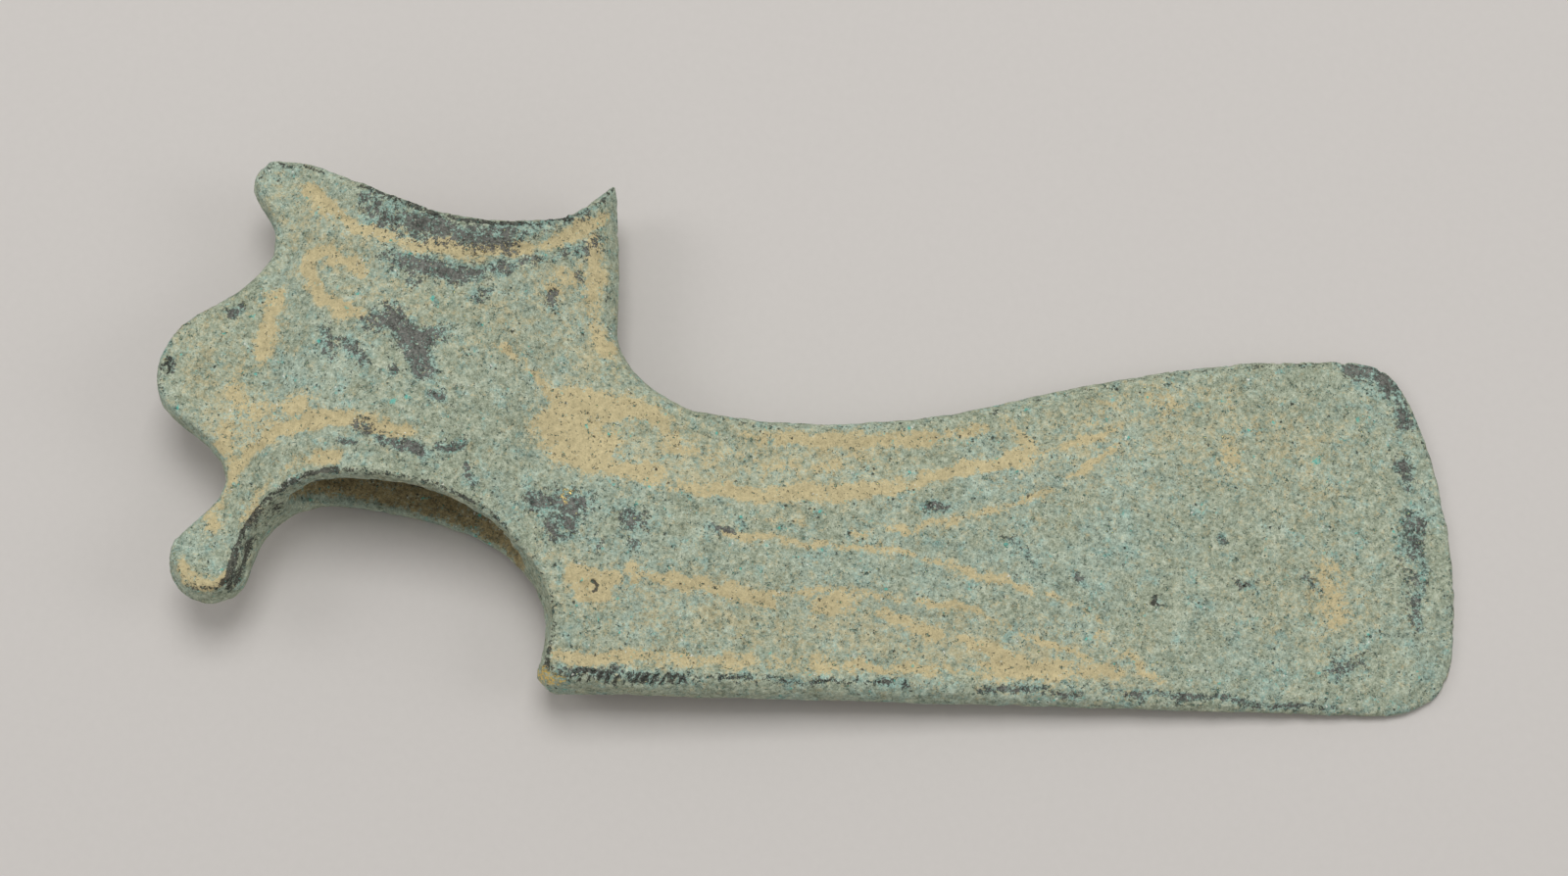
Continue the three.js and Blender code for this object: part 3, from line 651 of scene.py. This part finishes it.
# Black: crease lines, cracks and file marks, and painted shade on the lug's inner wall and in the blow
# hole.
grime_and_shade_at = add("Attribute", attribute_name="grime_and_shade").outputs["Fac"]
grime_and_shade = add("Math", {0: crumbs, 1: 0.7, 2: grime_and_shade_at}, operation="MULTIPLY_ADD").outputs[0]
grime_and_shade = add("MapRange", {0: grime_and_shade, 1: 0.42, 2: 0.6, 4: 0.92}, interpolation_type="SMOOTHSTEP").outputs[0]
black = add("MapRange", {0: tone, 1: 0.35, 2: 0.65}).outputs[0]
black = add("Mix", {0: black, 6: paint("2B2A25"), 7: paint("66665E")}, data_type="RGBA").outputs[2]
colour = add("Mix", {0: grime_and_shade, 6: colour, 7: black}, data_type="RGBA").outputs[2]

# Single grains, most of them under half a millimetre: black pits, pale mineral grains and turquoise ones,
# of uneven shape. They come in swarms. Finer ones wouldn't show, so the finest are drawn up to 0.3 mm wide.
uneven = add("TexNoise", {"Vector": in_mm, "Scale": 3.0, "Detail": 1.0}).outputs["Color"]
uneven = add("VectorMath", {0: uneven, 1: (0.5, 0.5, 0.5), 2: in_mm}, operation="MULTIPLY_ADD").outputs[0]
swarm = add("MapRange", {0: hue, 1: 0.42, 2: 0.62, 3: -0.25, 4: 0.15}).outputs[0]
grain_height = add("Math", {0: rubbed, 1: -0.8, 2: sand}, operation="MULTIPLY_ADD").outputs[0]
grain_height = add("Math", {0: grime_and_shade, 1: -0.8, 2: grain_height}, operation="MULTIPLY_ADD").outputs[0]

# Each kind with its cells in a mm, the share of them left empty, the largest grain's radius in cells, how
# far it covers the crust, its colour and how far it stands out. A cell's random colour sets its grain's
# size.
GRAINS = [
    (2.6, 0.72, 0.42, 0.70, "484C40", -0.3),
    (1.6, 0.74, 0.36, 0.85, "3A3D34", -0.5),
    (0.8, 0.78, 0.26, 0.90, "2C2D26", -0.7),
    (2.4, 0.78, 0.42, 0.65, "D8DFCC", 0.3),
    (1.3, 0.86, 0.30, 0.80, "ECEFE2", 0.3),
    (1.8, 0.80, 0.40, 0.60, "7BBDB0", 0.0),
    (1.0, 0.90, 0.32, 0.85, "5FBFB0", 0.2),
]
for cells_per_mm, empty, radius, strength, hex_code, relief in GRAINS:
    cell = add("TexVoronoi", {"Vector": uneven, "Scale": cells_per_mm})
    size = add("SeparateColor", {0: cell.outputs["Color"]}).outputs[0]
    size = add("Math", {0: size, 1: swarm}, operation="ADD").outputs[0]
    size = add("MapRange", {0: size, 1: empty, 2: 1.0, 4: radius}).outputs[0]
    within = add("Math", {0: size, 1: cell.outputs["Distance"]}, operation="SUBTRACT").outputs[0]
    within = add("MapRange", {0: within, 1: 0.0, 2: 0.15, 4: strength}).outputs[0]
    colour = add("Mix", {0: within, 6: colour, 7: paint(hex_code)}, data_type="RGBA").outputs[2]
    grain_height = add("Math", {0: within, 1: relief, 2: grain_height}, operation="MULTIPLY_ADD").outputs[0]

turquoise_at = add("Attribute", attribute_name="turquoise").outputs["Fac"]
turquoise = add("Math", {0: crumbs, 1: 0.8, 2: turquoise_at}, operation="MULTIPLY_ADD").outputs[0]
turquoise = add("MapRange", {0: turquoise, 1: 0.5, 2: 0.75, 4: 0.85}).outputs[0]
colour = add("Mix", {0: turquoise, 6: colour, 7: paint("6CC4B6")}, data_type="RGBA").outputs[2]

# Bright metal shows as flecks well under a millimetre across.
glint_at = add("Attribute", attribute_name="glint").outputs["Fac"]
glint = add("Math", {0: glint_at, 1: crumbs}, operation="ADD").outputs[0]
glint = add("MapRange", {0: glint, 1: 0.88, 2: 1.05}).outputs[0]
colour = add("Mix", {0: glint, 6: colour, 7: paint("E9D083")}, data_type="RGBA").outputs[2]

dull = add("MapRange", {0: rubbed, 3: 0.92, 4: 0.6}).outputs[0]
dull = add("Math", {0: glint, 1: -0.3, 2: dull}, operation="MULTIPLY_ADD").outputs[0]
bump = add("Bump", {"Height": grain_height, "Strength": 0.9, "Distance": 0.22 * MM}).outputs[0]
surface = add("BsdfPrincipled", {
    "Base Color": colour,
    "Roughness": dull,
    "Metallic": glint,
    "Normal": bump,
    "Specular IOR Level": 0.35,
}).outputs[0]
add("OutputMaterial", {"Surface": surface})

axe_head.data.materials.append(patina)
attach(axe_head, "root")
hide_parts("axe_head")


# ---- Floor -------------------------------------------------------------------------------------------
# A sheet of smooth pale grey board lies flat under the head and reaches past the view on every side. Its
# faint fibre is about a millimetre long.
floor_mesh = bpy.data.meshes.new("floor")
reach = 2.5
corners = [(-reach, -reach, 0), (reach, -reach, 0), (reach, reach, 0), (-reach, reach, 0)]
floor_mesh.from_pydata(corners, [], [(0, 1, 2, 3)])
floor = bpy.data.objects.new("floor", floor_mesh)
bpy.context.scene.collection.objects.link(floor)
board = bpy.data.materials.new("grey_board")
board.use_nodes = True
tree = board.node_tree
tree.nodes.clear()
fibre_place = add("TexCoord").outputs["Object"]
fibre = add("TexNoise", {"Vector": fibre_place, "Scale": 900.0, "Detail": 6.0}).outputs["Fac"]
board_colour = add("Mix", {0: fibre, 6: paint("CFCBC7"), 7: paint("D3CFCB")}, data_type="RGBA").outputs[2]
board_surface = add("BsdfPrincipled", {
    "Base Color": board_colour,
    "Roughness": 0.9,
    "Specular IOR Level": 0.2,
})
add("OutputMaterial", {"Surface": board_surface.outputs[0]})
floor_mesh.materials.append(board)


# ---- Light -------------------------------------------------------------------------------------------
# One broad soft light overhead, a little beyond the horned mouth, a weaker one on each side and an even
# pale surround.
def soft_light(name, place, width, power):
    """A square soft light turned to the axe head, its width in metres and its power in watts."""
    data = bpy.data.lights.new(name, "AREA")
    data.shape = "SQUARE"
    data.size = width
    data.energy = power
    lamp = bpy.data.objects.new(name, data)
    lamp.location = place
    lamp.rotation_euler = (-Vector(place)).to_track_quat("-Z", "Y").to_euler()
    bpy.context.scene.collection.objects.link(lamp)


soft_light("light_overhead", (-0.03, 0.30, 1.00), 0.50, 5.1)
soft_light("light_west", (-0.70, 0.05, 0.60), 0.40, 1.1)
soft_light("light_east", (0.70, 0.05, 0.60), 0.40, 0.9)

world = bpy.data.worlds.new("surround")
world.use_nodes = True
background = world.node_tree.nodes["Background"]
background.inputs["Color"].default_value = paint("F2F0EE")
background.inputs["Strength"].default_value = 0.40
bpy.context.scene.world = world
bpy.context.scene.view_settings.view_transform = "Standard"
